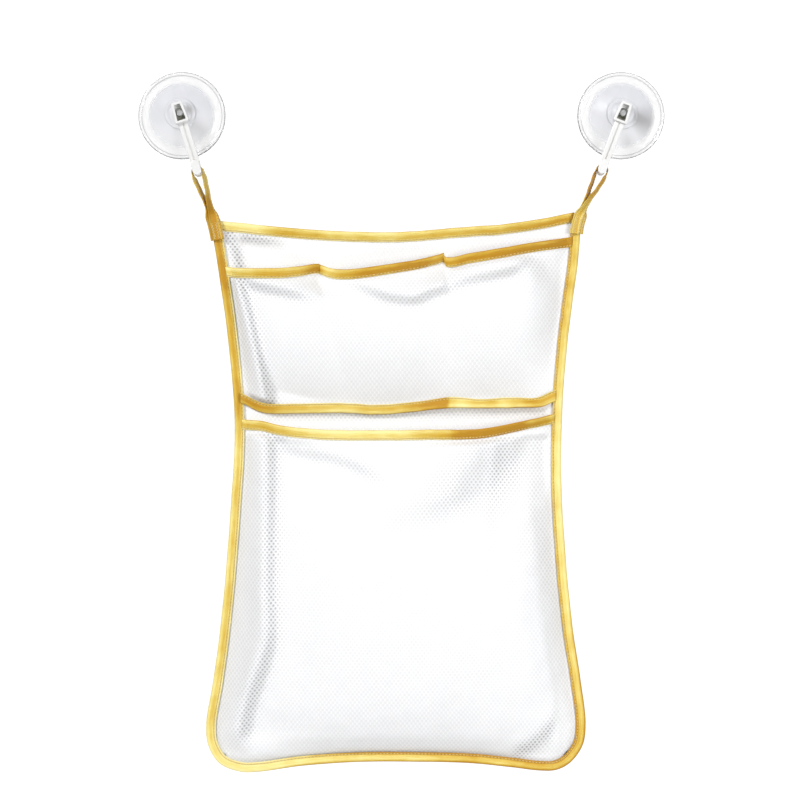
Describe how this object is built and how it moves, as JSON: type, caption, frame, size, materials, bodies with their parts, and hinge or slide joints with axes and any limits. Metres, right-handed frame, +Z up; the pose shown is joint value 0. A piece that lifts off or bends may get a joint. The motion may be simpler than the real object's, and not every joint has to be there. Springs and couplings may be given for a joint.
{
  "type": "bath toy organizer",
  "caption": "Net bag with a row of small pockets over one large pocket, hung by tape loops from suction cups with swivelling hooks.",
  "frame": {"origin": "on the wall plane, midway between the stems of the two suction cups", "axes": "+X to the right as seen from the front, +Y into the wall, +Z up along the bag's height"},
  "size_m": [0.4626, 0.0658, 0.6117],
  "materials": {
    "clear_cup": "clear, glossy and soft",
    "white_hook": "moulded, lightly glossy",
    "gold_tape": "woven with a satin sheen",
    "white_net": "fine knitted mesh"
  },
  "bodies": {
    "cups": {"left_suction_cup": "clear_cup", "right_suction_cup": "clear_cup"},
    "left_hook_body": {"left_hook": "white_hook"},
    "right_hook_body": {"right_hook": "white_hook"},
    "bag": {"left_hanging_loop": "gold_tape", "right_hanging_loop": "gold_tape", "back_net": "white_net", "upper_pocket_net": "white_net", "lower_pocket_net": "white_net", "edge_binding": "gold_tape", "top_binding": "gold_tape", "upper_mouth_binding": "gold_tape", "upper_base_binding": "gold_tape", "lower_mouth_binding": "gold_tape"}
  },
  "joints": [
    {"name": "left_hook_swivel", "type": "hinge", "parent": "cups", "child": "left_hook_body", "pos_m": [-0.193, 0, 0], "axis": [0, 1, 0], "range_deg": [-12, 12]},
    {"name": "bag_pivot", "type": "hinge", "parent": "left_hook_body", "child": "bag", "pos_m": [-0.17664, 0, -0.05188], "axis": [0, 1, 0], "range_deg": [-13.3, 13.3]},
    {"name": "right_hook_swivel", "type": "hinge", "parent": "cups", "child": "right_hook_body", "pos_m": [0.193, 0, 0], "axis": [0, 1, 0], "range_deg": [-12.35, 12.35]}
  ],
  "couplings": [
    {"joint": "bag_pivot", "follows": "left_hook_swivel", "ratio": -1.104},
    {"joint": "right_hook_swivel", "follows": "left_hook_swivel", "ratio": 1.024}
  ]
}
